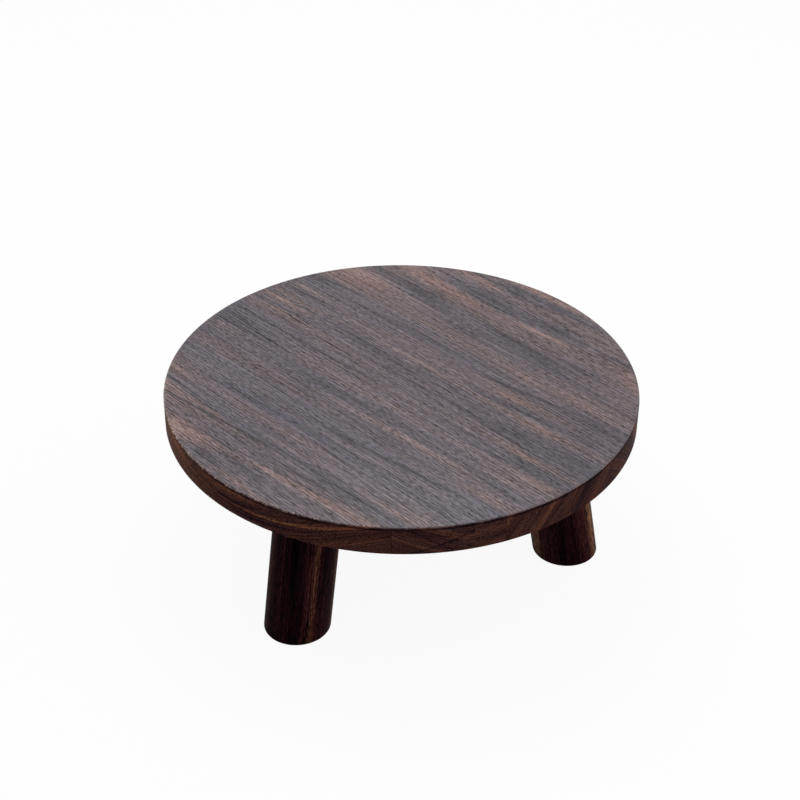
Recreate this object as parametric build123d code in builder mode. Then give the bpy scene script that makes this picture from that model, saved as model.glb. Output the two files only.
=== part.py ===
from build123d import *
from itertools import pairwise
from math import cos, radians, sin, tan
import os

# Low round table: a slab of edge-glued boards on three splayed legs.
# Each leg is cut level at both ends and carries an upright hanger bolt, which screws into a threaded
# insert in the slab's underside. However far a leg is turned, its foot stays level.
# Millimetres. +Z is up, the boards' grain runs along X, and the origin is on the floor under the
# centre of the slab.

# Slab
top_diameter = 500.0
top_thickness = 32.0
upper_rim_chamfer = 2.0
lower_rim_chamfer = 1.0
seams = (-178.0, -84.0, -8.0, 57.0, 150.0)  # glue lines, measured along Y from the centre

# Legs
leg_count = 3
first_leg_azimuth = 41.0  # degrees from +X
leg_inset = 96.0  # from the slab's rim in to a leg's axis, at the underside
leg_splay = 9.8  # degrees that a leg leans outwards from upright
leg_height = 175.0  # upright distance between a leg's two level cuts
leg_diameter = 70.0  # square to the leg's axis
leg_top_chamfer = 0.5
foot_chamfer = 1.0

# Foot pads
pad_diameter = 60.0
pad_thickness = 2.0

# Hanger bolts, M8 with a pitch of 1.25
bolt_diameter = 8.0
bolt_waist_diameter = 7.0  # plain shank between the two threads
bolt_waist_length = 4.0
bolt_screwed_length = 17.5  # machine thread held by the insert, 14 turns
bolt_wood_length = 42.5  # wood thread held by the leg
bolt_point_length = 6.0
bolt_point_diameter = 1.5
bolt_end_chamfer = 1.0
bolt_socket_across_flats = 4.0
bolt_socket_depth = 4.0

# Threaded inserts
insert_length = 20.0
insert_diameter = 12.0
insert_flange_diameter = 16.0
insert_flange_thickness = 1.5
insert_socket_across_flats = 8.0
insert_socket_depth = 5.0
insert_mouth_chamfer = 0.4

# Clearances
thread_clearance = 0.05  # radial, between a bolt and the hole that it turns or sits in
insert_clearance = 0.05  # radial, between an insert and the slab
insert_sinking = 0.3  # how far the flange lies inside the underside
hole_end_clearance = 1.5  # beyond the end of an insert or a bolt

# Levels and derived sizes
foot_level = pad_thickness
underside_level = foot_level + leg_height
top_level = underside_level + top_thickness
top_radius = top_diameter / 2
leg_circle_radius = top_radius - leg_inset
bolt_radius = bolt_diameter / 2
bolt_hole_radius = bolt_radius + thread_clearance
leg_axis_length = leg_height / cos(radians(leg_splay))
foot_offset = leg_height * tan(radians(leg_splay))  # from the seat out to the foot's centre
cut_allowance = leg_diameter * tan(radians(leg_splay))  # spare length past each level cut

across_flats_to_radius = 1 / (2 * cos(radians(30)))  # from a hexagon's flats to its corners
bolt_socket_radius = bolt_socket_across_flats * across_flats_to_radius
insert_socket_radius = insert_socket_across_flats * across_flats_to_radius

os.makedirs("parts", exist_ok=True)


def leg_azimuth(number):
    return first_leg_azimuth + (number - 1) * 360 / leg_count


def radial(azimuth):
    return Vector(cos(radians(azimuth)), sin(radians(azimuth)), 0)


def tangential(azimuth):
    return Vector(-sin(radians(azimuth)), cos(radians(azimuth)), 0)


def seat_point(azimuth):
    """The centre of a leg's seat on the slab's underside."""
    return radial(azimuth) * leg_circle_radius + Vector(0, 0, underside_level)


def upright_section(azimuth):
    """The upright plane through a bolt's axis: its X runs outwards and its Y runs up from the seat."""
    return Plane(origin=seat_point(azimuth), x_dir=radial(azimuth), z_dir=-tangential(azimuth))


def upright_axis(azimuth):
    return Axis(origin=seat_point(azimuth), direction=(0, 0, 1))


leg_numbers = range(1, leg_count + 1)

# The slab is glued up and turned as one blank, drilled for the inserts, and told apart by its boards
with BuildPart() as blank:
    with BuildSketch(Plane.XY.offset(underside_level)):
        Circle(top_radius)
    extrude(amount=top_thickness)
    chamfer(blank.edges().group_by(Axis.Z)[-1], length=upper_rim_chamfer)
    chamfer(blank.edges().group_by(Axis.Z)[0], length=lower_rim_chamfer)
    for number in leg_numbers:
        with Locations(Plane(origin=seat_point(leg_azimuth(number)), z_dir=(0, 0, -1))):
            CounterBoreHole(
                radius=insert_diameter / 2 + insert_clearance,
                counter_bore_radius=insert_flange_diameter / 2 + insert_clearance,
                counter_bore_depth=insert_sinking + insert_flange_thickness,
                depth=insert_sinking + insert_length + hole_end_clearance,
            )

board_edges = (-top_radius, *seams, top_radius)
for number, (near, far) in enumerate(pairwise(board_edges), start=1):
    with BuildPart() as board:
        add(blank.part)
        with Locations((0, (near + far) / 2, underside_level + top_thickness / 2)):
            Box(top_diameter, far - near, top_thickness, mode=Mode.INTERSECT)
    board.part.label = f"top_board_{number}"
    export_step(board.part, f"parts/top_board_{number}.step")

# Threaded inserts: a flanged sleeve with a hexagon socket at its mouth
for number in leg_numbers:
    azimuth = leg_azimuth(number)
    with BuildPart() as insert:
        with BuildSketch(upright_section(azimuth)):
            with BuildLine():
                Polyline(
                    (bolt_hole_radius, insert_sinking + insert_mouth_chamfer),
                    (bolt_hole_radius + insert_mouth_chamfer, insert_sinking),
                    (insert_flange_diameter / 2, insert_sinking),
                    (insert_flange_diameter / 2, insert_sinking + insert_flange_thickness),
                    (insert_diameter / 2, insert_sinking + insert_flange_thickness),
                    (insert_diameter / 2, insert_sinking + insert_length),
                    (bolt_hole_radius, insert_sinking + insert_length),
                    close=True,
                )
            make_face()
        revolve(axis=upright_axis(azimuth))
        with BuildSketch(Plane(origin=seat_point(azimuth), x_dir=radial(azimuth)).offset(insert_sinking)):
            RegularPolygon(radius=insert_socket_radius, side_count=6)
        extrude(amount=insert_socket_depth, mode=Mode.SUBTRACT)
    insert.part.label = f"insert_nut_{number}"
    export_step(insert.part, f"parts/insert_nut_{number}.step")

# Legs: a leaning round bar, cut level at the seat and at the foot, drilled upright for its bolt
for number in leg_numbers:
    azimuth = leg_azimuth(number)
    lean = radial(azimuth) * sin(radians(leg_splay)) - Vector(0, 0, cos(radians(leg_splay)))
    axis_plane = Plane(origin=seat_point(azimuth), x_dir=tangential(azimuth), z_dir=lean)
    with BuildPart() as leg:
        with BuildSketch(axis_plane.offset(-cut_allowance)):
            Circle(leg_diameter / 2)
        extrude(amount=leg_axis_length + 2 * cut_allowance)
        split(bisect_by=Plane.XY.offset(underside_level), keep=Keep.BOTTOM)
        split(bisect_by=Plane.XY.offset(foot_level), keep=Keep.TOP)
        chamfer(leg.edges().group_by(Axis.Z)[-1], length=leg_top_chamfer)
        chamfer(leg.edges().group_by(Axis.Z)[0], length=foot_chamfer)
        with Locations(Plane(origin=seat_point(azimuth))):
            Hole(radius=bolt_hole_radius, depth=bolt_wood_length + hole_end_clearance)
    leg.part.label = f"leg_{number}"
    export_step(leg.part, f"parts/leg_{number}.step")

# Hanger bolts: a machine thread above the seat, a plain waist, and a pointed wood thread below it
for number in leg_numbers:
    azimuth = leg_azimuth(number)
    with BuildPart() as bolt:
        with BuildSketch(upright_section(azimuth)):
            with BuildLine():
                Polyline(
                    (0, bolt_screwed_length),
                    (bolt_radius - bolt_end_chamfer, bolt_screwed_length),
                    (bolt_radius, bolt_screwed_length - bolt_end_chamfer),
                    (bolt_radius, 0),
                    (bolt_waist_diameter / 2, 0),
                    (bolt_waist_diameter / 2, -bolt_waist_length),
                    (bolt_radius, -bolt_waist_length),
                    (bolt_radius, bolt_point_length - bolt_wood_length),
                    (bolt_point_diameter / 2, -bolt_wood_length),
                    (0, -bolt_wood_length),
                    close=True,
                )
            make_face()
        revolve(axis=upright_axis(azimuth))
        with BuildSketch(Plane(origin=seat_point(azimuth), x_dir=radial(azimuth)).offset(bolt_screwed_length)):
            RegularPolygon(radius=bolt_socket_radius, side_count=6)
        extrude(amount=-bolt_socket_depth, mode=Mode.SUBTRACT)
    bolt.part.label = f"hanger_bolt_{number}"
    export_step(bolt.part, f"parts/hanger_bolt_{number}.step")

# Foot pads: thin discs stuck to the feet, clear of their edges
for number in leg_numbers:
    azimuth = leg_azimuth(number)
    foot_centre = radial(azimuth) * (leg_circle_radius + foot_offset)
    with BuildPart() as pad:
        with BuildSketch(Plane(origin=foot_centre)):
            Circle(pad_diameter / 2)
        extrude(amount=pad_thickness)
    pad.part.label = f"foot_pad_{number}"
    export_step(pad.part, f"parts/foot_pad_{number}.step")
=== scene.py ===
import bmesh
import bpy
from math import atan2, ceil, cos, hypot, pi, radians, sin, tau
from mathutils import Matrix, Vector
from random import Random


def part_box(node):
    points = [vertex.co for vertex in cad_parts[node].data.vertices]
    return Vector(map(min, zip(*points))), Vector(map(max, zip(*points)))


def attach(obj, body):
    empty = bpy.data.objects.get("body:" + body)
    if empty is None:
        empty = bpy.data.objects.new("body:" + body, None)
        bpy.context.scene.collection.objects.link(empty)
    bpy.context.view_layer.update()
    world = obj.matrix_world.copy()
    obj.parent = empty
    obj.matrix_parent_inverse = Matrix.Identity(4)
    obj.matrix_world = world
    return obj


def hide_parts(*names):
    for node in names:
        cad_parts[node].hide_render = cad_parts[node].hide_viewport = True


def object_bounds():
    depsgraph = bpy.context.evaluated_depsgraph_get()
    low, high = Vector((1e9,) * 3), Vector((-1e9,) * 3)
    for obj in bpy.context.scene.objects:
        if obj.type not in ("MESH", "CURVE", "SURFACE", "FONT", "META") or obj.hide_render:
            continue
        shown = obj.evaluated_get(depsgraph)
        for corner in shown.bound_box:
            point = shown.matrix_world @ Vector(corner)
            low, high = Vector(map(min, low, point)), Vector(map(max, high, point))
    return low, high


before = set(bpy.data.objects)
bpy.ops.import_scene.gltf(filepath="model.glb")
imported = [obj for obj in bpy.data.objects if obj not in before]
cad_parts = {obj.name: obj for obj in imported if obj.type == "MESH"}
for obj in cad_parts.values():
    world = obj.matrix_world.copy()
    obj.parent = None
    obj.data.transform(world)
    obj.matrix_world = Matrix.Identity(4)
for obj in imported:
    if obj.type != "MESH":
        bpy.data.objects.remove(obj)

cadLow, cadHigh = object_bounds()
mm = 0.001
touching = 1e-7  # metres: points this close are one point


# Places taken from the frame

def boxCentre(node):
    low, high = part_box(node)
    return (low + high) / 2


def nodesOf(stem):
    return sorted(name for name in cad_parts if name.startswith(stem))


underside, topLevel = (corner.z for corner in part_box("top_board_1"))
topRadius = cadHigh.x
legNumbers = range(1, len(nodesOf("leg_")) + 1)
seats = {number: boxCentre(f"insert_nut_{number}").xy for number in legNumbers}
feet = {number: boxCentre(f"foot_pad_{number}").xy for number in legNumbers}
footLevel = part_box("leg_1")[0].z
seatPlaces = [tuple(round(part / mm) for part in seat) for seat in seats.values()]
print("frame: slab", round(topRadius / mm), "mm in radius, seats at", seatPlaces)


# Shaders: a Wire is one socket, and sums and products of wires add Math nodes

class Wire:
    def __init__(self, paint, socket):
        self.paint, self.socket = paint, socket

    def __add__(self, other):
        return self.paint.math("ADD", self, other)

    def __radd__(self, other):
        return self.paint.math("ADD", other, self)

    def __sub__(self, other):
        return self.paint.math("SUBTRACT", self, other)

    def __rsub__(self, other):
        return self.paint.math("SUBTRACT", other, self)

    def __mul__(self, other):
        return self.paint.math("MULTIPLY", self, other)

    def __rmul__(self, other):
        return self.paint.math("MULTIPLY", other, self)

    def __truediv__(self, other):
        return self.paint.math("DIVIDE", self, other)

    def __rtruediv__(self, other):
        return self.paint.math("DIVIDE", other, self)


class Paint:
    def __init__(self, owner):
        owner.use_nodes = True
        self.tree = owner.node_tree
        self.tree.nodes.clear()

    def node(self, kind, settings, inputs, output=0):
        node = self.tree.nodes.new(kind)
        for name, value in settings.items():
            if name == "stops":
                self.setStops(node.color_ramp, value)
            else:
                setattr(node, name, value)
        for name, value in inputs.items():
            if isinstance(value, Wire):
                self.tree.links.new(value.socket, node.inputs[name])
            else:
                node.inputs[name].default_value = value
        return Wire(self, node.outputs[output]) if node.outputs else None

    def setStops(self, ramp, stops):
        while len(ramp.elements) < len(stops):
            ramp.elements.new(0.5)
        for element, (place, colour) in zip(ramp.elements, stops):
            element.position = place
            element.color = (*colour, 1)

    def math(self, operation, *values):
        return self.node("ShaderNodeMath", {"operation": operation}, dict(enumerate(values)))

    def between(self, value, low, high):  # 0 at low, 1 at high, smooth in between
        inputs = {"Value": value, "From Min": low, "From Max": high}
        return self.node("ShaderNodeMapRange", {"interpolation_type": "SMOOTHSTEP"}, inputs)

    def mixed(self, first, second, share, way="MIX"):
        settings = {"data_type": "RGBA", "blend_type": way}
        return self.node("ShaderNodeMix", settings, {0: share, 6: first, 7: second}, 2)

    def vector(self, operation, *values, output=0):
        settings = {"operation": operation}
        return self.node("ShaderNodeVectorMath", settings, dict(enumerate(values)), output)

    # Noise about 0. A form is the lengths of its lumps in mm, its detail, roughness and shift.
    def noise(self, place, form, seed=0.0):
        lumps, detail, roughness, shift = form
        scaled = [part / lump + (seed + shift) for part, lump in zip(place, lumps)]
        point = self.node("ShaderNodeCombineXYZ", {}, dict(enumerate(scaled)))
        inputs = {"Vector": point, "Scale": 1.0, "Detail": detail, "Roughness": roughness}
        return self.node("ShaderNodeTexNoise", {}, inputs) - 0.5

    def bump(self, strength, depth, height):
        inputs = {"Strength": strength, "Distance": depth, "Height": height}
        return self.node("ShaderNodeBump", {}, inputs)

    def surface(self, inputs):
        shader = self.node("ShaderNodeBsdfPrincipled", {}, inputs)
        self.node("ShaderNodeOutputMaterial", {}, {"Surface": shader})


def colour(red, green, blue):
    return (red, green, blue, 1.0)


# Wood: figure drawn through the solid, from rings about a pith line that runs with the grain.
# Lengths are in millimetres. A place is along the grain, across it, and up from the best face.

wood = {
    # faceWithSheenStops, for the lacquered top, are lighter and greyer than the wood: part real
    # colour, part painted sheen of the lacquer
    "faceWithSheenStops": [
        (0.00, (0.010, 0.007, 0.012)),
        (0.18, (0.029, 0.019, 0.029)),
        (0.36, (0.054, 0.041, 0.057)),
        (0.50, (0.081, 0.057, 0.067)),
        (0.72, (0.129, 0.079, 0.078)),
        (1.00, (0.176, 0.117, 0.112)),
    ],
    "sideStops": [
        (0.00, (0.0030, 0.0008, 0.0014)),
        (0.25, (0.0140, 0.0050, 0.0070)),
        (0.50, (0.0500, 0.0195, 0.0150)),
        (0.75, (0.1150, 0.0460, 0.0260)),
        (1.00, (0.2000, 0.0960, 0.0540)),
    ],
    "legStops": [
        (0.00, (0.0010, 0.0003, 0.0005)),
        (0.25, (0.0075, 0.0018, 0.0032)),
        (0.50, (0.0250, 0.0070, 0.0075)),
        (0.75, (0.0700, 0.0290, 0.0170)),
        (1.00, (0.1400, 0.0700, 0.0400)),
    ],
    "wander": 14.0,  # how far the pith line strays
    "wanderShare": 0.4,  # of that, upwards and in the streaks
    "roundLength": 90,  # for a turn of one radian about the pith
    "broad": (0.6, 0.3),  # how strongly it shows at the rim, and on the face
    "streak": (0.34, 0.05),
    "lateWood": (0.14, 0.04),
    "ringSpacing": 5.5,
    "ringSpread": 5.0,
    "latePart": (0.62, 0.95),
    "streakStrength": 1.3,
    "steepest": 2.2,
    "weave": 5.0,  # how far the fine lines stray
    "weaveShare": 0.25,  # of that, in the streaks
    "lineSpacing": 3.3,
    "lineLean": 0.7,
    "lines": 0.26,
    "faintLines": 0.03,
    "lineBands": (-0.2, 0.24),
    "grit": 3.2,
    "fibres": 2.5,
    "poreEdges": (0.05, 0.2),
    "warmth": 5.0,
    "warmthInRed": 0.09,
    "warmthInBlue": 0.08,
    "stainLevel": 1.02,
    "fineInStain": 1.05,
    "poresInStain": 0.4,
}

# Forms of noise: lumps along the grain, across it and in depth, detail, roughness and shift
grain = {
    "wander": ((300, 90, 90), 1.0, 0.5, 0.0),
    "broad": ((430, 60, 9.0), 2.0, 0.5, 1.7),
    "streak": ((170, 26, 2.6), 3.0, 0.6, 3.1),
    "weave": ((70, 8, 8), 2.0, 0.5, 5.9),
    "grit": ((7, 0.75, 0.75), 1.0, 0.6, 8.1),
    "fibres": ((80, 0.9, 0.9), 1.0, 0.5, 9.6),
    "lineBands": ((110, 13, 13), 2.0, 0.6, 8.8),
    "pores": ((6, 0.8, 0.8), 1.0, 0.5, 11.0),
    "warmth": ((300, 45, 7.0), 1.0, 0.5, 14.2),
}


def byFace(strengths, onFace):  # from the strength at the rim to the one on the face
    rim, face = strengths
    return rim - onFace * (rim - face)


def woodFigure(paint, place, figure, onFace):
    along, across, up = place
    seed = figure["seed"]
    pithAcross, pithUp = figure["pith"]
    wander = paint.noise(place, grain["wander"], seed) * wood["wander"]
    sideways = across - pithAcross - along * figure["slope"] + wander
    upwards = up - pithUp + wander * wood["wanderShare"]
    radius = paint.math("SQRT", sideways * sideways + upwards * upwards)
    around = paint.math("ARCTAN2", sideways, upwards) * wood["roundLength"]
    ringPlace = (along, around, radius)

    broad = paint.noise(ringPlace, grain["broad"], seed)
    streak = paint.noise(ringPlace, grain["streak"], seed)
    rings = paint.math("FRACT", radius / wood["ringSpacing"] + broad * wood["ringSpread"])
    lateStart, lateEnd = wood["latePart"]
    lateWood = paint.between(rings, lateStart, lateEnd) * (1 - paint.between(rings, lateEnd, 1.0))
    tone = figure["tone"] + broad * byFace(wood["broad"], onFace)
    tone = tone + streak * byFace(wood["streak"], onFace)
    tone = tone - lateWood * byFace(wood["lateWood"], onFace)
    weave = paint.noise(place, grain["weave"], seed) * wood["weave"]
    stray = wander * wood["wanderShare"] + weave * wood["weaveShare"]
    for atAlong, atAcross, rise, length, width, strength in figure["streaks"]:
        lean = max(min(-pithUp / (atAcross - pithAcross), wood["steepest"]), -wood["steepest"])
        offAlong = (along - atAlong) / length
        offAcross = across - atAcross - (along - atAlong) * rise + up * lean + stray
        offAcross = offAcross / width
        nearness = offAlong * offAlong + offAcross * offAcross + 1
        tone = tone + strength * wood["streakStrength"] / (nearness * nearness)

    sheet = across * onFace + radius * (1 - onFace) + up * onFace * wood["lineLean"]
    lines = paint.math("SINE", (sheet + weave) * (tau / wood["lineSpacing"]))
    grit = paint.noise(place, grain["grit"], seed) * wood["grit"]
    fibres = paint.noise(place, grain["fibres"], seed) * wood["fibres"]
    bands = paint.between(paint.noise(place, grain["lineBands"], seed), *wood["lineBands"])
    fine = lines * (bands * wood["lines"] + wood["faintLines"]) + fibres + grit
    pores = paint.between(paint.noise(place, grain["pores"], seed), *wood["poreEdges"])
    warmth = figure["warmth"] + paint.noise(ringPlace, grain["warmth"], seed) * wood["warmth"]
    return tone, fine, pores, warmth


def grainPlace(paint, origin, directions):  # Object coordinates along each direction, in mm
    point = paint.node("ShaderNodeTexCoord", {}, {}, "Object")
    point = paint.vector("SUBTRACT", point, origin)
    directions = [Vector(direction) / mm for direction in directions]
    return [paint.vector("DOT_PRODUCT", point, direction, output=1) for direction in directions]


def stained(paint, base, fine, pores, warmth):
    red = 1 + warmth * wood["warmthInRed"]
    blue = 1 - warmth * wood["warmthInBlue"]
    tint = paint.node("ShaderNodeCombineColor", {}, {0: red, 1: 1.0, 2: blue})
    base = paint.mixed(base, tint, 1.0, "MULTIPLY")
    depth = (wood["stainLevel"] + fine * wood["fineInStain"]) * (1 - pores * wood["poresInStain"])
    return paint.mixed(base, depth, 1.0, "MULTIPLY")


satin = {
    "roughness": 0.45,
    "fineRoughness": 0.1,
    "poreRoughness": 0.2,
    "underCoat": 0.004,
    "coatRoughness": 0.28,
    "coatIor": 1.5,
    "fineHeight": 0.5,
    "bump": 0.6,
    "bumpDepth": 0.15 * mm,
}


def woodSurface(paint, base, lacquer, fine, pores):
    roughness = satin["roughness"] + fine * satin["fineRoughness"]
    paint.surface({
        "Base Color": base,
        "Roughness": roughness + pores * satin["poreRoughness"],
        "Specular IOR Level": satin["underCoat"],
        "Coat Weight": lacquer,
        "Coat Roughness": satin["coatRoughness"],
        "Coat IOR": satin["coatIor"],
        "Normal": paint.bump(satin["bump"], satin["bumpDepth"], fine * satin["fineHeight"] - pores),
    })


# Heights are in millimetres from the face, downwards below 0, and depths are inwards from the rim
slabLook = {
    "faceHeights": (-1.6, -0.3),
    "arrisHeights": (-3.0, -1.0),
    "arrisDepths": (0.6, 2.4),
    "wear": ((6, 6, 6), 3.0, 0.65, 2.2),
    "chips": ((1.1, 1.1, 1.1), 1.0, 0.5, 6.6),
    "chipShare": 0.8,
    "wearByPlace": 0.1,
    "wearEdges": (0.08, 0.4),
    "bareShade": 0.3,
    "bareColour": (0.550, 0.430, 0.350),
    "bareCover": 0.75,
    "shadePatches": ((30, 30, 8), 1.0, 0.5, 4.8),
    "patchEdges": (-0.12, 0.12),
    "patchLeast": 0.3,
    # painted shade: a dark line under the upper arris, broken into patches
    "paintedShadeFoot": (-4.6, -3.4),
    "paintedShadeHead": (-2.2, -1.6),
    "paintedShadeDepth": 0.42,
    # painted light: the rim on the -X side is pulled lighter and warmer, with less painted shade
    # under its arris
    "paintedLightReach": (-30, 70),
    "paintedLightTone": 0.68,
    "paintedLightCover": 0.5,
    "paintedLightEasesShade": 0.26,
    "glueColour": (0.006, 0.003, 0.003),
    "glueCover": 0.5,
    "glueWidth": (0.1, 0.5),
    "rimLacquer": 0.015,
    "poresInLacquer": 0.5,
    "lacquerLevel": 0.92,
    "fineInLacquer": 0.55,
}


def slabFinish(name, figure, seams):
    material = bpy.data.materials.new(name)
    paint = Paint(material)
    look = slabLook
    place = grainPlace(paint, (0, 0, topLevel), ((1, 0, 0), (0, 1, 0), (0, 0, 1)))
    along, across, up = place
    onTop = paint.between(up, *look["faceHeights"])
    tone, fine, pores, warmth = woodFigure(paint, place, figure, onTop)

    toRim = topRadius / mm - paint.math("SQRT", along * along + across * across)
    arris = 1 - paint.between(toRim, *look["arrisDepths"])
    arris = arris * paint.between(up, *look["arrisHeights"])
    wear = paint.noise(place, look["wear"]) + paint.noise(place, look["chips"]) * look["chipShare"]
    wear = wear - (across + along) / (topRadius / mm) * look["wearByPlace"]
    bare = arris * paint.between(wear, *look["wearEdges"])
    shadePatches = paint.between(paint.noise(place, look["shadePatches"]), *look["patchEdges"])
    shadePatches = look["patchLeast"] + shadePatches * (1 - look["patchLeast"])
    # painted shade: a dark line just under the upper arris, in patches
    paintedArrisShade = paint.between(up, *look["paintedShadeFoot"]) * (1 - paint.between(up, *look["paintedShadeHead"]))
    # painted light: the rim on the -X side is made lighter and warmer, and its painted arris shade
    # eased
    paintedRimLight = (1 - onTop) * (1 - paint.between(along, *look["paintedLightReach"]))
    tone = tone + (look["paintedLightTone"] - tone) * paintedRimLight * look["paintedLightCover"]
    shade = tone + bare * look["bareShade"]
    shade = shade - paintedArrisShade * shadePatches * (look["paintedShadeDepth"] - paintedRimLight * look["paintedLightEasesShade"])
    face = paint.node("ShaderNodeValToRGB", {"stops": wood["faceWithSheenStops"]}, {0: shade})
    side = paint.node("ShaderNodeValToRGB", {"stops": wood["sideStops"]}, {0: shade})
    base = stained(paint, paint.mixed(side, face, onTop), fine, pores, warmth + paintedRimLight)
    base = paint.mixed(base, colour(*look["bareColour"]), bare * look["bareCover"])
    glueLine = 0.0
    for seam in seams:
        offSeam = paint.math("ABSOLUTE", across - seam / mm)
        glueLine = glueLine + (1 - paint.between(offSeam, *look["glueWidth"]))
    glueLine = paint.math("MINIMUM", glueLine * look["glueCover"], 1.0)
    base = paint.mixed(base, colour(*look["glueColour"]), glueLine)
    lacquer = onTop * (1 - look["rimLacquer"]) + look["rimLacquer"]
    lacquer = lacquer * (1 - pores * look["poresInLacquer"])
    lacquer = lacquer * (look["lacquerLevel"] + fine * look["fineInLacquer"])
    woodSurface(paint, base, lacquer, fine, pores)
    return material


# Meshes: a bmesh goes in and a finished piece comes out, with its place in its mesh

def finishPiece(bm, name, material, body, slotName, *replaced):
    bmesh.ops.recalc_face_normals(bm, faces=bm.faces)
    mesh = bpy.data.meshes.new(name)
    bm.to_mesh(mesh)
    bm.free()
    mesh.shade_smooth()
    piece = bpy.data.objects.new(name, mesh)
    bpy.context.scene.collection.objects.link(piece)
    mesh.materials.append(material)
    piece.modifiers.new("evenNormals", "WEIGHTED_NORMAL").keep_sharp = True
    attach(piece, body)
    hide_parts(*replaced)
    return piece


def markSharp(bm, angle):
    for edge in bm.edges:
        if len(edge.link_faces) == 2 and edge.calc_face_angle() > angle:
            edge.smooth = False


def ring(bm, radius, centre, sides):
    place = Matrix.Translation(centre)
    return bmesh.ops.create_circle(bm, segments=sides, radius=radius, matrix=place)["verts"]


def edgesOf(vertices):
    chosen = set(vertices)
    linked = {edge for vertex in vertices for edge in vertex.link_edges}
    return [edge for edge in linked if set(edge.verts) <= chosen]


def edgesAtRim(bm, centre, radius):  # the edges level with a centre and as far from it as a radius
    def atRim(vertex):
        away = vertex.co - centre
        return abs(away.z) < touching * 10 and away.length > radius - mm / 2

    return [edge for edge in bm.edges if all(atRim(vertex) for vertex in edge.verts)]


def pullOut(bm, edges, step):  # extrudes edges by a step, and returns the new vertices
    made = bmesh.ops.extrude_edge_only(bm, edges=edges)["geom"]
    loop = [part for part in made if isinstance(part, bmesh.types.BMVert)]
    bmesh.ops.translate(bm, verts=loop, vec=step)
    return loop


def drawOut(bm, vertices, step, scale=1.0, centre=(0, 0, 0)):  # extrudes and scales a loop
    loop = pullOut(bm, edgesOf(vertices), step)
    space = Matrix.Translation(-Vector(centre))
    bmesh.ops.scale(bm, verts=loop, vec=(scale, scale, 1), space=space)
    return loop


def cap(bm, vertices):
    bmesh.ops.contextual_create(bm, geom=edgesOf(vertices))


def fillFlat(bm, edges):
    bmesh.ops.triangle_fill(bm, use_beauty=True, use_dissolve=False, edges=edges)


def fillOpen(bm, level):  # closes the flat gap between the loops that lie open at a level
    def isLevel(edge):
        return all(abs(vertex.co.z - level) < touching for vertex in edge.verts)

    fillFlat(bm, [edge for edge in bm.edges if edge.is_boundary and isLevel(edge)])


def roundEdges(bm, edges, radius, segments):
    bmesh.ops.recalc_face_normals(bm, faces=bm.faces)
    bmesh.ops.bevel(bm, geom=edges, offset=radius, offset_type="OFFSET", segments=segments,
                    profile=0.5, affect="EDGES", material=-1)


creaseAngle = radians(40)  # an edge that turns more stays sharp


# Slab: one drilled disc, cut into its boards

slab = {
    "sides": 480,
    "upperArris": 2.0 * mm,
    "upperSteps": 5,
    "lowerArris": 1.0 * mm,
    "lowerSteps": 3,
    "flangeHole": 8.05 * mm,
    "flangeDepth": 1.8 * mm,
    "insertHole": 6.05 * mm,
    "insertDepth": 20.0 * mm,
    "holeSides": 64,
}


def drilledSlab():
    bm = bmesh.new()
    centre = Vector((0, 0, underside))
    rimEdges = edgesOf(ring(bm, topRadius, centre, slab["sides"]))
    places = [Vector((*seat, underside)) for seat in seats.values()]
    mouths = [ring(bm, slab["flangeHole"], place, slab["holeSides"]) for place in places]
    fillFlat(bm, bm.edges)
    for mouth, place in zip(mouths, places):
        step = drawOut(bm, mouth, (0, 0, slab["flangeDepth"]))
        inner = drawOut(bm, step, (0, 0, 0), slab["insertHole"] / slab["flangeHole"], place)
        cap(bm, drawOut(bm, inner, (0, 0, slab["insertDepth"])))
    upper = pullOut(bm, rimEdges, (0, 0, topLevel - underside))
    cap(bm, upper)
    roundEdges(bm, edgesOf(upper), slab["upperArris"], slab["upperSteps"])
    roundEdges(bm, edgesAtRim(bm, centre, topRadius), slab["lowerArris"], slab["lowerSteps"])
    return bm


def cutBoard(blank, low, high):
    bm = blank.copy()
    cuts = [(level, side) for level, side in ((low, 1), (high, -1)) if abs(level) < topRadius - mm]
    for level, side in cuts:
        everything = bm.verts[:] + bm.edges[:] + bm.faces[:]
        cut = bmesh.ops.bisect_plane(bm, geom=everything, dist=touching, plane_co=(0, level, 0),
                                     plane_no=(0, side, 0), clear_inner=True)["geom_cut"]
        cutEdges = [part for part in cut if isinstance(part, bmesh.types.BMEdge)]
        bmesh.ops.edgenet_fill(bm, edges=cutEdges)
    return bm, [level for level, side in cuts]


# A streak is its place along and across, rise, half length, half width and how light it is

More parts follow.
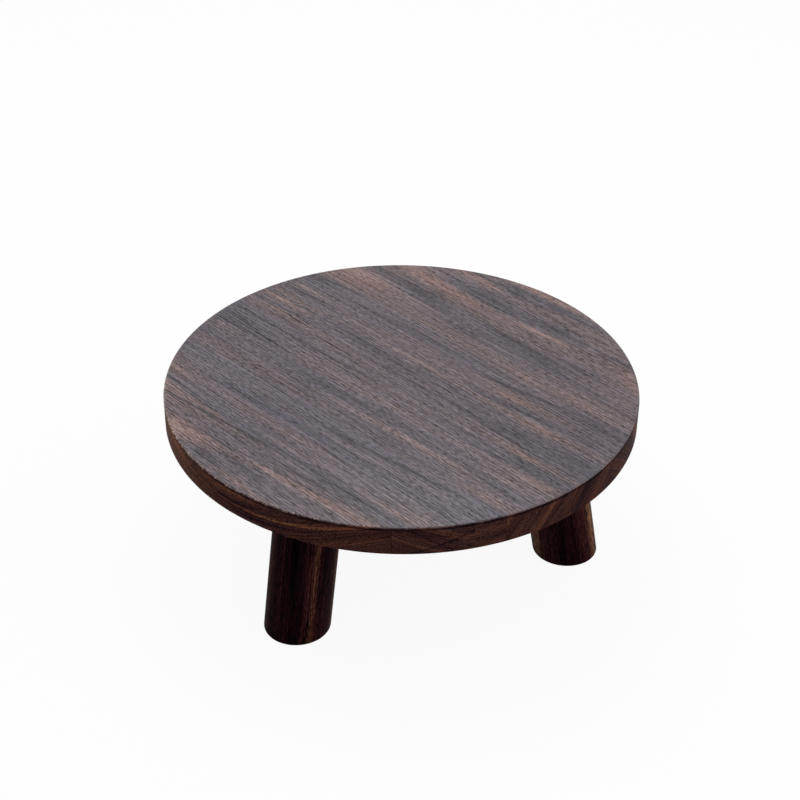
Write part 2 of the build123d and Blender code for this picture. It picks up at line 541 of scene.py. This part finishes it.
boards = {
    "top_board_1": {
        "pith": (-136, -144), "slope": 0.03, "seed": 1.3, "tone": 0.45, "warmth": 0.5,
        "streaks": [
            (-70, -186, 0.11, 110, 1.8, -0.50),
            (-40, -200, 0.05, 60, 9, -0.10),
            (-95, -185, 0.05, 60, 6, 0.12),
            (60, -187, 0.08, 80, 6, -0.24),
            (-50, -211, 0.02, 90, 1.6, -0.35),
            (60, -197, 0.13, 90, 1.6, -0.35),
            (-90, -224, 0.02, 65, 15, 0.42),
            (-172, -186, 0.0, 34, 14, 0.40),
            (60, -202, 0.12, 110, 6, 0.32),
            (-36, -236, 0.0, 30, 9, -0.28),
            (17, -220, 0.05, 60, 8, -0.22),
            (30, -240, 0.0, 60, 4, 0.18),
        ],
    },
    "top_board_2": {
        "pith": (-126, 62), "slope": 0.06, "seed": 4.1, "tone": 0.45, "warmth": 0.0,
        "streaks": [
            (90, -173, 0.02, 110, 1.8, -0.50),
            (160, -160, 0.05, 50, 3.5, 0.24),
            (10, -167, 0.10, 60, 4, 0.14),
            (140, -101, 0.11, 75, 1.8, -0.50),
            (30, -113, 0.06, 60, 6, -0.22),
            # a painted shadow: this faint dark band is shade cast by something standing on the top
            (-60, -137, 0.07, 120, 4, -0.14),
            (-50, -151, 0.05, 90, 8, 0.12),
            (-185, -160, 0.0, 40, 12, 0.20),
            (190, -150, 0.0, 34, 8, 0.16),
        ],
    },
    "top_board_3": {
        "pith": (130, -148), "slope": 0.05, "seed": 7.7, "tone": 0.46, "warmth": 0.1,
        "streaks": [
            (80, -69, 0.06, 110, 5, 0.26),
            (160, -25, 0.12, 38, 1.8, -0.42),
            (195, -17, 0.05, 38, 6, -0.24),
            (222, -28, 0.0, 40, 6, 0.18),
            (195, -46, 0.0, 38, 8, 0.20),
            (207, -61, 0.0, 50, 5, -0.24),
            (210, -79, 0.0, 45, 9, 0.20),
            (-210, -30, 0.03, 70, 1.4, -0.32),
            (-205, -44, 0.0, 50, 10, -0.22),
            (-205, -58, 0.06, 60, 1.4, -0.34),
            (-205, -69, 0.0, 50, 5, 0.12),
            (-50, -64, 0.04, 110, 6, -0.22),
            (-10, -40, 0.05, 110, 4, 0.18),
            (-70, -24, 0.05, 80, 2, -0.30),
        ],
    },
    "top_board_4": {
        "pith": (175, -148), "slope": 0.05, "seed": 10.2, "tone": 0.46, "warmth": 0.2,
        "streaks": [
            (-208, 43, 0.11, 60, 2.4, -0.38),
            (-200, 37, 0.0, 50, 8, -0.14),
            (-215, 16, 0.05, 60, 1.8, 0.38),
            (-210, 3, 0.08, 70, 1.4, -0.32),
            (-215, 52, 0.0, 45, 5, 0.14),
            (-205, 28, 0.0, 60, 26, 0.12),
            (215, 28, 0.0, 45, 16, -0.18),
            (-195, -3, 0.0, 50, 6, 0.12),
            (155, 18, 0.0, 50, 9, -0.16),
            (165, 42, 0.05, 60, 8, 0.16),
            (180, 7, 0.0, 85, 1.5, -0.42),
            (176, -3, 0.0, 40, 6, 0.14),
            (117, 51, 0.12, 48, 2.2, -0.44),
            (-70, 24, 0.03, 110, 7, -0.20),
            (-10, 42, 0.02, 90, 4, 0.20),
            (20, 8, 0.04, 90, 1.8, -0.34),
        ],
    },
    "top_board_5": {
        "pith": (-26, -142), "slope": 0.04, "seed": 13.9, "tone": 0.47, "warmth": 0.5,
        "streaks": [
            (98, 61, 0.13, 42, 4, 0.32),
            (113, 81, 0.17, 80, 1.8, -0.44),
            (197, 88, 0.0, 45, 7, -0.24),
            (200, 60, 0.0, 38, 8, -0.20),
            (155, 107, 0.0, 70, 8, 0.20),
            (80, 101, -0.10, 42, 6, 0.20),
            (65, 141, -0.10, 50, 12, -0.24),
            (10, 143, 0.0, 32, 8, -0.20),
            (-205, 112, 0.0, 48, 18, 0.26),
            (-202, 83, 0.15, 60, 1.8, -0.34),
            (-225, 74, 0.0, 32, 5, -0.20),
            (-115, 141, -0.15, 60, 10, -0.26),
            (-190, 144, 0.0, 36, 7, -0.26),
            (-180, 122, 0.0, 60, 22, 0.14),
            (-70, 78, 0.02, 110, 7, -0.22),
            (-30, 100, 0.0, 110, 5, 0.16),
            (-10, 118, -0.03, 90, 2, -0.34),
        ],
    },
    "top_board_6": {
        "pith": (200, -150), "slope": 0.02, "seed": 17.5, "tone": 0.49, "warmth": 0.7,
        "streaks": [
            (-22, 242, 0.0, 80, 5, 0.42),
            (-88, 222, 0.0, 52, 1.5, -0.38),
            (-92, 214, 0.0, 52, 6, 0.30),
            (-45, 221, 0.0, 26, 12, -0.28),
            (15, 231, 0.0, 62, 4, -0.26),
            (-68, 191, 0.0, 95, 9, -0.32),
            (-75, 183, 0.0, 110, 1.5, -0.34),
            (44, 198, 0.0, 34, 8, -0.22),
            (110, 197, 0.0, 60, 2, -0.24),
            (-90, 172, -0.03, 62, 6, 0.22),
            (39, 178, 0.06, 62, 4.5, 0.30),
            (-115, 153, -0.10, 60, 8, -0.22),
            (112, 156, 0.0, 34, 6, -0.20),
            (160, 180, -0.3, 34, 10, 0.20),
            (-160, 178, 0.0, 80, 26, 0.26),
        ],
    },
}


def buildSlab():
    blank = drilledSlab()
    for name, figure in boards.items():
        low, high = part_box(name)
        bm, seams = cutBoard(blank, low.y, high.y)
        markSharp(bm, creaseAngle)
        piece = name.replace("top_board", "slab_board")
        finishPiece(bm, piece, slabFinish(piece, figure, seams), "top", "top_wood", name)
    blank.free()
    print("slab: boards done")


# Legs: round bars that lean outwards, cut level at both ends

leg = {
    "radius": 35.0 * mm,
    "sides": 160,
    "topArris": 0.5 * mm,
    "topSteps": 2,
    "footArris": 1.0 * mm,
    "footSteps": 4,
    "boltHole": 4.05 * mm,
    "boltDepth": 44.0 * mm,
    "holeSides": 48,
}

legFigures = {
    1: {
        "pith": (70, -12), "slope": 0.01, "seed": 21.4, "tone": 0.28, "warmth": 0.0,
        "streaks": [
            # a painted highlight: this broad light streak is the side of the leg lit from the right
            (90, -10, 0.0, 400, 13, 0.34),
            (60, -33, 0.0, 200, 3, -0.20),
        ],
    },
    2: {
        "pith": (60, -30), "slope": 0.02, "seed": 25.8, "tone": 0.28, "warmth": 0.0,
        "streaks": [
            (60, 12, 0.0, 200, 3, 0.30),
            (90, -10, 0.0, 90, 5, -0.25),
        ],
    },
    3: {
        "pith": (-70, -12), "slope": 0.0, "seed": 29.1, "tone": 0.28, "warmth": 0.0,
        "streaks": [
            (90, 28, 0.0, 300, 3, 0.26),
            (60, -20, 0.0, 200, 7, 0.12),
            (110, 11, 0.0, 70, 4, -0.30),
            (110, -1, 0.0, 80, 3, 0.10),
            (165, -3, 0.0, 30, 2, 0.30),
            (20, 34, 0.0, 40, 3, 0.20),
        ],
    },
}


legLook = {
    "contrast": 1.35,
    "fine": 2.0,
    "warmth": 0.5,
    "lacquer": 0.006,
    "poresInLacquer": 0.6,
}


def legFinish(name, figure, foot, axis, outwards):
    material = bpy.data.materials.new(name)
    paint = Paint(material)
    tangent = axis.cross(outwards)
    square = tangent.cross(axis)
    place = grainPlace(paint, foot + square * leg["radius"], (axis, tangent, square))
    tone, fine, pores, warmth = woodFigure(paint, place, figure, 1.0)
    tone = tone * legLook["contrast"] - figure["tone"] * (legLook["contrast"] - 1)
    base = paint.node("ShaderNodeValToRGB", {"stops": wood["legStops"]}, {0: tone})
    base = stained(paint, base, fine * legLook["fine"], pores, warmth + legLook["warmth"])
    lacquer = (1 - pores * legLook["poresInLacquer"]) * legLook["lacquer"]
    woodSurface(paint, base, lacquer, fine, pores)
    return material


def buildLeg(number):
    seat = Vector((*seats[number], underside))
    foot = Vector((*feet[number], footLevel))
    axis = (seat - foot).normalized()
    outwards = Vector((*seats[number].normalized(), 0))
    bm = bmesh.new()
    outline = ring(bm, leg["radius"], (0, 0, 0), leg["sides"])
    levelCut = Matrix.Diagonal((1 / axis.z, 1, 1, 1))  # cut level, a leaning bar ends in an ellipse
    turned = Matrix.Rotation(atan2(outwards.y, outwards.x), 4, "Z")
    bmesh.ops.transform(bm, verts=outline, matrix=turned @ levelCut)
    bmesh.ops.translate(bm, verts=outline, vec=seat)
    outlineEdges = edgesOf(outline)
    mouth = ring(bm, leg["boltHole"], seat, leg["holeSides"])
    fillFlat(bm, bm.edges)
    cap(bm, drawOut(bm, mouth, (0, 0, -leg["boltDepth"])))
    lower = pullOut(bm, outlineEdges, foot - seat)
    cap(bm, lower)
    roundEdges(bm, edgesOf(lower), leg["footArris"], leg["footSteps"])
    roundEdges(bm, edgesAtRim(bm, seat, leg["radius"]), leg["topArris"], leg["topSteps"])
    markSharp(bm, creaseAngle)
    name = f"turned_leg_{number}"
    material = legFinish(name, legFigures[number], foot, axis, outwards)
    finishPiece(bm, name, material, f"leg_{number}", "leg_wood", f"leg_{number}")


buildSlab()
for number in legNumbers:
    buildLeg(number)
print("legs: done")


# Threads: one pitch of the profile, spun upwards, then cut level at both ends and turned down

threads = {
    "machine": {"pitch": 1.25 * mm, "crest": 4.0 * mm, "root": 3.3 * mm, "land": 0.12, "steps": 36},
    "bore": {"pitch": 1.25 * mm, "crest": 4.08 * mm, "root": 3.38 * mm, "land": 0.12, "steps": 36},
    "wood": {"pitch": 3.2 * mm, "crest": 4.0 * mm, "root": 2.8 * mm, "land": 0.06, "steps": 36},
    "insert": {"pitch": 3.0 * mm, "crest": 6.0 * mm, "root": 5.2 * mm, "land": 0.10, "steps": 48},
}
flank = 0.36  # the share of a pitch on each side of a crest, as land is the crest's own share


def spinThread(bm, form, low, high, turned):
    pitch = form["pitch"]
    start = (low // pitch - 1) * pitch
    crestEnd = flank + form["land"]
    shares = (0.0, flank, crestEnd, crestEnd + flank, 1.0)
    outline = zip(("root", "crest", "crest", "root", "root"), shares)
    profile = [bm.verts.new((form[part], 0, start + share * pitch)) for part, share in outline]
    edges = [bm.edges.new(pair) for pair in zip(profile, profile[1:])]
    before = set(bm.verts) - set(profile)
    turns = ceil((high - start - touching) / pitch)
    bmesh.ops.spin(bm, geom=profile + edges, cent=(0, 0, 0), axis=(0, 0, 1), angle=tau * turns,
                   dvec=(0, 0, pitch / form["steps"]), steps=turns * form["steps"],
                   use_merge=False, use_duplicate=False)
    made = [v for v in bm.verts if v not in before]
    bmesh.ops.remove_doubles(bm, verts=made, dist=touching)
    for level, side in ((low, 1), (high, -1)):
        made = [v for v in bm.verts if v not in before]
        around = {part for v in made for part in (*v.link_edges, *v.link_faces)}
        bmesh.ops.bisect_plane(bm, geom=made + list(around), dist=touching / 10,
                               plane_co=(0, 0, level), plane_no=(0, 0, side), clear_inner=True)
    for vertex in bm.verts:
        if vertex not in before:
            radius = hypot(vertex.co.x, vertex.co.y)
            scale = turned(radius, vertex.co.z) / radius
            vertex.co.x *= scale
            vertex.co.y *= scale


# Metal: plated steel, with a finer grain where a tool has turned it

metal = {
    "bolt": {"colour": (0.560, 0.565, 0.575), "stain": (0.300, 0.290, 0.270), "roughness": 0.30},
    "insert": {"colour": (0.470, 0.450, 0.400), "stain": (0.230, 0.200, 0.160), "roughness": 0.38},
    "clouds": ((5, 5, 5), 3.0, 0.6, 3.7),
    "cloudEdges": (-0.1, 0.25),
    "cloudCover": 0.35,
    "cloudRoughness": 0.15,
    "specks": ((0.5, 0.5, 0.5), 2.0, 0.6, 9.4),
    "speckEdges": (0.1, 0.3),
    "speckCover": 0.3,
    "turned": ((1.5, 1.5, 0.12), 1.0, 0.5, 5.2),
    "turnedRoughness": 0.1,
    "bump": 0.3,
    "bumpDepth": 0.03 * mm,
}


def metalFinish(name, figure):
    material = bpy.data.materials.new(name)
    paint = Paint(material)
    place = grainPlace(paint, (0, 0, underside), ((1, 0, 0), (0, 1, 0), (0, 0, 1)))
    clouds = paint.between(paint.noise(place, metal["clouds"]), *metal["cloudEdges"])
    specks = paint.between(paint.noise(place, metal["specks"]), *metal["speckEdges"])
    turned = paint.noise(place, metal["turned"])
    cover = clouds * metal["cloudCover"] + specks * metal["speckCover"]
    roughness = figure["roughness"] + clouds * metal["cloudRoughness"]
    paint.surface({
        "Base Color": paint.mixed(colour(*figure["colour"]), colour(*figure["stain"]), cover),
        "Metallic": 1.0,
        "Roughness": roughness + turned * metal["turnedRoughness"],
        "Normal": paint.bump(metal["bump"], metal["bumpDepth"], turned - specks),
    })
    return material


# Hanger bolts and threaded inserts: drawn about the origin, then set in their seats

bolt = {
    "screwed": 17.5 * mm,
    "endChamfer": 1.0 * mm,
    "waistRadius": 3.5 * mm,
    "waistLength": 4.0 * mm,
    "waistSides": 36,
    "runOut": 3.6 * mm,  # the radius from which both threads rise beside the waist
    "machineRise": 0.5,
    "woodRise": 0.6,
    "wood": 42.5 * mm,
    "point": 6.0 * mm,
    "pointRadius": 0.75 * mm,
    "socketFlats": 4.0 * mm,
    "socketDepth": 4.0 * mm,
}

insert = {
    "sunk": 0.3 * mm,
    "flangeRadius": 8.0 * mm,
    "flangeThickness": 1.5 * mm,
    "flangeArris": 0.2 * mm,
    "flangeSides": 64,
    "radius": 6.0 * mm,
    "length": 20.0 * mm,
    "leadIn": 1.5 * mm,
    "leadSlope": 0.5,
    "socketFlats": 8.0 * mm,
    "socketDepth": 5.0 * mm,
}


def hexagon(bm, flats, level):
    return ring(bm, flats / 2 / cos(pi / 6), (0, 0, level), 6)


def machineEnd(radius, level):
    radius = max(radius, bolt["runOut"] - level * bolt["machineRise"])
    return min(radius, threads["machine"]["crest"] - bolt["endChamfer"] + bolt["screwed"] - level)


def woodEnd(radius, level):
    crest = threads["wood"]["crest"]
    radius = max(radius, bolt["runOut"] + (level + bolt["waistLength"]) * bolt["woodRise"])
    narrowed = (level + bolt["wood"]) / bolt["point"]
    taper = bolt["pointRadius"] / crest * (1 - narrowed) + narrowed
    return radius * min(taper, 1.0)


def insertEnd(radius, level):
    top = insert["sunk"] + insert["length"]
    return min(radius, insert["radius"] - (insert["leadIn"] + level - top) * insert["leadSlope"])


def drawBolt():
    bm = bmesh.new()
    spinThread(bm, threads["machine"], 0.0, bolt["screwed"], machineEnd)
    spinThread(bm, threads["wood"], -bolt["wood"], -bolt["waistLength"], woodEnd)
    waist = ring(bm, bolt["waistRadius"], (0, 0, 0), bolt["waistSides"])
    drawOut(bm, waist, (0, 0, -bolt["waistLength"]))
    socket = hexagon(bm, bolt["socketFlats"], bolt["screwed"])
    cap(bm, drawOut(bm, socket, (0, 0, -bolt["socketDepth"])))
    for level in (bolt["screwed"], 0.0, -bolt["waistLength"], -bolt["wood"]):
        fillOpen(bm, level)
    return bm


def drawInsert():
    bm = bmesh.new()
    mouth = insert["sunk"]
    shoulder = mouth + insert["flangeThickness"]
    socketEnd = mouth + insert["socketDepth"]
    top = mouth + insert["length"]
    spinThread(bm, threads["bore"], socketEnd, top, lambda radius, level: radius)
    spinThread(bm, threads["insert"], shoulder, top, insertEnd)
    arris = insert["flangeArris"]
    shrink = 1 - arris / insert["flangeRadius"]
    loop = ring(bm, insert["flangeRadius"] * shrink, (0, 0, shoulder), insert["flangeSides"])
    loop = drawOut(bm, loop, (0, 0, -arris), 1 / shrink)
    loop = drawOut(bm, loop, (0, 0, mouth - shoulder + 2 * arris))
    drawOut(bm, loop, (0, 0, -arris), shrink)
    drawOut(bm, hexagon(bm, insert["socketFlats"], mouth), (0, 0, insert["socketDepth"]))
    for level in (shoulder, mouth, socketEnd, top):
        fillOpen(bm, level)
    return bm


threadCrease = radians(35)


def setInSeat(bm, number):
    seat = seats[number]
    bmesh.ops.rotate(bm, verts=bm.verts, matrix=Matrix.Rotation(atan2(seat.y, seat.x), 3, "Z"))
    bmesh.ops.translate(bm, verts=bm.verts, vec=(*seat, underside))
    bmesh.ops.dissolve_degenerate(bm, dist=touching * 20, edges=bm.edges)
    markSharp(bm, threadCrease)
    return bm


boltShape = drawBolt()
insertShape = drawInsert()
boltMetal = metalFinish("platedSteel", metal["bolt"])
insertMetal = metalFinish("zincAlloy", metal["insert"])
for number in legNumbers:
    screwed = setInSeat(boltShape.copy(), number)
    sunk = setInSeat(insertShape.copy(), number)
    finishPiece(screwed, f"threaded_bolt_{number}", boltMetal, f"bolt_{number}", "fastener_steel",
                f"hanger_bolt_{number}")
    finishPiece(sunk, f"threaded_insert_{number}", insertMetal, "top", "fastener_steel",
                f"insert_nut_{number}")
print(f"fasteners: bolts of {len(boltShape.faces)} faces in inserts of {len(insertShape.faces)}")


# Felt pads: pressed discs with a film of glue on top and a slightly ragged edge

pad = {
    "radius": 30.0 * mm,
    "thickness": 2.0 * mm,
    "film": 0.25 * mm,
    "edge": 0.5 * mm,
    "edgeSteps": 3,
    "ragged": 0.18 * mm,
    "sides": 180,
    "darkColour": (0.010, 0.008, 0.008),
    "lightColour": (0.052, 0.042, 0.037),
    "filmColour": (0.30, 0.28, 0.24),
    "clumps": ((1.6, 1.6, 0.8), 4.0, 0.65, 4.4),
    "hairs": (((0.25, 2.5, 0.4), 1.0, 0.5, 6.1), ((2.5, 0.25, 0.4), 1.0, 0.5, 8.6)),
    "hairShare": 0.6,
    "shadeEdges": (-0.35, 0.4),
    "roughness": 0.95,
    "filmRoughness": 0.55,
    "shine": 0.1,
    "sheen": 0.25,
    "sheenRoughness": 0.5,
    "sheenColour": (0.5, 0.45, 0.42),
    "bump": 0.8,
    "bumpDepth": 0.4 * mm,
}


def feltFinish():
    material = bpy.data.materials.new("pressedFelt")
    paint = Paint(material)
    place = grainPlace(paint, (0, 0, 0), ((1, 0, 0), (0, 1, 0), (0, 0, 1)))
    clumps = paint.noise(place, pad["clumps"])
    lengthwise, crosswise = (paint.noise(place, form) for form in pad["hairs"])
    hairs = lengthwise + crosswise
    shade = paint.between(clumps + hairs * pad["hairShare"], *pad["shadeEdges"])
    felt = paint.mixed(colour(*pad["darkColour"]), colour(*pad["lightColour"]), shade)
    filmFoot = (pad["thickness"] - pad["film"]) / mm
    filmHead = (pad["thickness"] - pad["film"] / 2) / mm
    film = paint.between(place[2], filmFoot, filmHead)
    paint.surface({
        "Base Color": paint.mixed(felt, colour(*pad["filmColour"]), film),
        "Roughness": pad["roughness"] - film * (pad["roughness"] - pad["filmRoughness"]),
        "Specular IOR Level": pad["shine"],
        "Sheen Weight": pad["sheen"],
        "Sheen Roughness": pad["sheenRoughness"],
        "Sheen Tint": colour(*pad["sheenColour"]),
        "Normal": paint.bump(pad["bump"], pad["bumpDepth"], (clumps + hairs) * (1 - film)),
    })
    return material


def buildPad(number, material):
    random = Random(number)
    bm = bmesh.new()
    centre = Vector((*feet[number], 0))
    low = ring(bm, pad["radius"], centre, pad["sides"])
    cap(bm, low)
    high = drawOut(bm, low, (0, 0, pad["thickness"]))
    cap(bm, high)
    roundEdges(bm, edgesOf(low) + edgesOf(high), pad["edge"], pad["edgeSteps"])
    for vertex in bm.verts:
        if pad["film"] < vertex.co.z < pad["thickness"] - pad["film"]:
            outwards = (vertex.co - centre) * Vector((1, 1, 0))
            vertex.co -= outwards.normalized() * pad["ragged"] * random.random()
    markSharp(bm, creaseAngle)
    finishPiece(bm, f"felt_pad_{number}", material, f"leg_{number}", "pad_felt",
                f"foot_pad_{number}")


felt = feltFinish()
for number in legNumbers:
    buildPad(number, felt)
print("pads: done")


# Floor, lights and camera

studio = {
    "floorSize": 60.0,
    "floorTone": 0.82,
    "floorWhite": 0.93,
    "fadeFrom": 1.0,
    "fadeTo": 5.0,
    "airLight": 0.5,
}


def seenAsWhite(paint):  # 1 for what the camera sees, straight or by way of metal and glass
    path = paint.node("ShaderNodeLightPath", {}, {}).socket.node.outputs
    seen = Wire(paint, path["Is Camera Ray"]) + Wire(paint, path["Is Glossy Ray"])
    return paint.math("MINIMUM", seen + Wire(paint, path["Is Transmission Ray"]), 1.0)


def layFloor():
    material = bpy.data.materials.new("paleFloor")
    paint = Paint(material)
    plain = paint.node("ShaderNodeBsdfDiffuse", {}, {"Color": colour(*[studio["floorTone"]] * 3)})
    white = paint.node("ShaderNodeEmission", {}, {"Color": colour(1, 1, 1), "Strength": 1.0})
    east, north = grainPlace(paint, (0, 0, 0), ((mm, 0, 0), (0, mm, 0)))  # in metres
    away = paint.math("SQRT", east * east + north * north)
    fade = paint.between(away, studio["fadeFrom"], studio["fadeTo"])
    whiteness = studio["floorWhite"] + fade * (1 - studio["floorWhite"])
    whiteness = seenAsWhite(paint) * whiteness
    both = paint.node("ShaderNodeMixShader", {}, {0: whiteness, 1: plain, 2: white})
    paint.node("ShaderNodeOutputMaterial", {}, {"Surface": both})
    bm = bmesh.new()
    bmesh.ops.create_grid(bm, x_segments=1, y_segments=1, size=studio["floorSize"] / 2)
    mesh = bpy.data.meshes.new("floor")
    bm.to_mesh(mesh)
    bm.free()
    mesh.materials.append(material)
    floor = bpy.data.objects.new("floor", mesh)
    bpy.context.scene.collection.objects.link(floor)


def surround():
    world = bpy.data.worlds.new("studio")
    bpy.context.scene.world = world
    paint = Paint(world)
    strength = studio["airLight"] + seenAsWhite(paint) * (1 - studio["airLight"])
    air = paint.node("ShaderNodeBackground", {}, {"Color": colour(1, 1, 1), "Strength": strength})
    paint.node("ShaderNodeOutputWorld", {}, {"Surface": air})


view = {
    "azimuth": 46.5,
    "elevation": 33.33,
    "distance": 1.7924,
    "lens": 76.34,
    "sensor": 36.0,
    "pan": 0.048,
    "tilt": 0.641,
    "roll": 0.551,
}

# A lamp's place is to the right of the view, away from it and up, in metres
lamps = {
    "overhead": {"at": (-0.3, 0.6, 2.4), "size": 2.4, "power": 40.0},
    "rightSide": {"at": (2.4, -0.6, 1.2), "size": 2.6, "power": 26.0},
}
lampAim = Vector((0, 0, 0.15))


def hangLamp(name, lamp):
    light = bpy.data.lights.new(name, "AREA")
    light.size = lamp["size"]
    light.energy = lamp["power"]
    hung = bpy.data.objects.new(name, light)
    hung.location = Matrix.Rotation(radians(view["azimuth"]), 3, "Z") @ Vector(lamp["at"])
    hung.rotation_euler = (lampAim - hung.location).to_track_quat("-Z", "Y").to_euler()
    bpy.context.scene.collection.objects.link(hung)


def placeCamera():
    data = bpy.data.cameras.new("camera")
    data.lens = view["lens"]
    data.sensor_width = view["sensor"]
    camera = bpy.data.objects.new("camera", data)
    azimuth, elevation = radians(view["azimuth"]), radians(view["elevation"])
    back = Vector((sin(azimuth) * cos(elevation), -cos(azimuth) * cos(elevation), sin(elevation)))
    aim = (-back).to_track_quat("-Z", "Y").to_matrix()
    aim = aim @ Matrix.Rotation(radians(view["pan"]), 3, "Y")
    aim = aim @ Matrix.Rotation(radians(-view["tilt"]), 3, "X")
    aim = aim @ Matrix.Rotation(radians(view["roll"]), 3, "Z")
    place = Vector((0, 0, topLevel)) + back * view["distance"]
    camera.matrix_world = Matrix.Translation(place) @ aim.to_4x4()
    bpy.context.scene.collection.objects.link(camera)
    bpy.context.scene.camera = camera


layFloor()
surround()
for name, lamp in lamps.items():
    hangLamp(name, lamp)
placeCamera()
bpy.context.scene.view_settings.view_transform = "Standard"
print("studio: floor, lights and camera done")
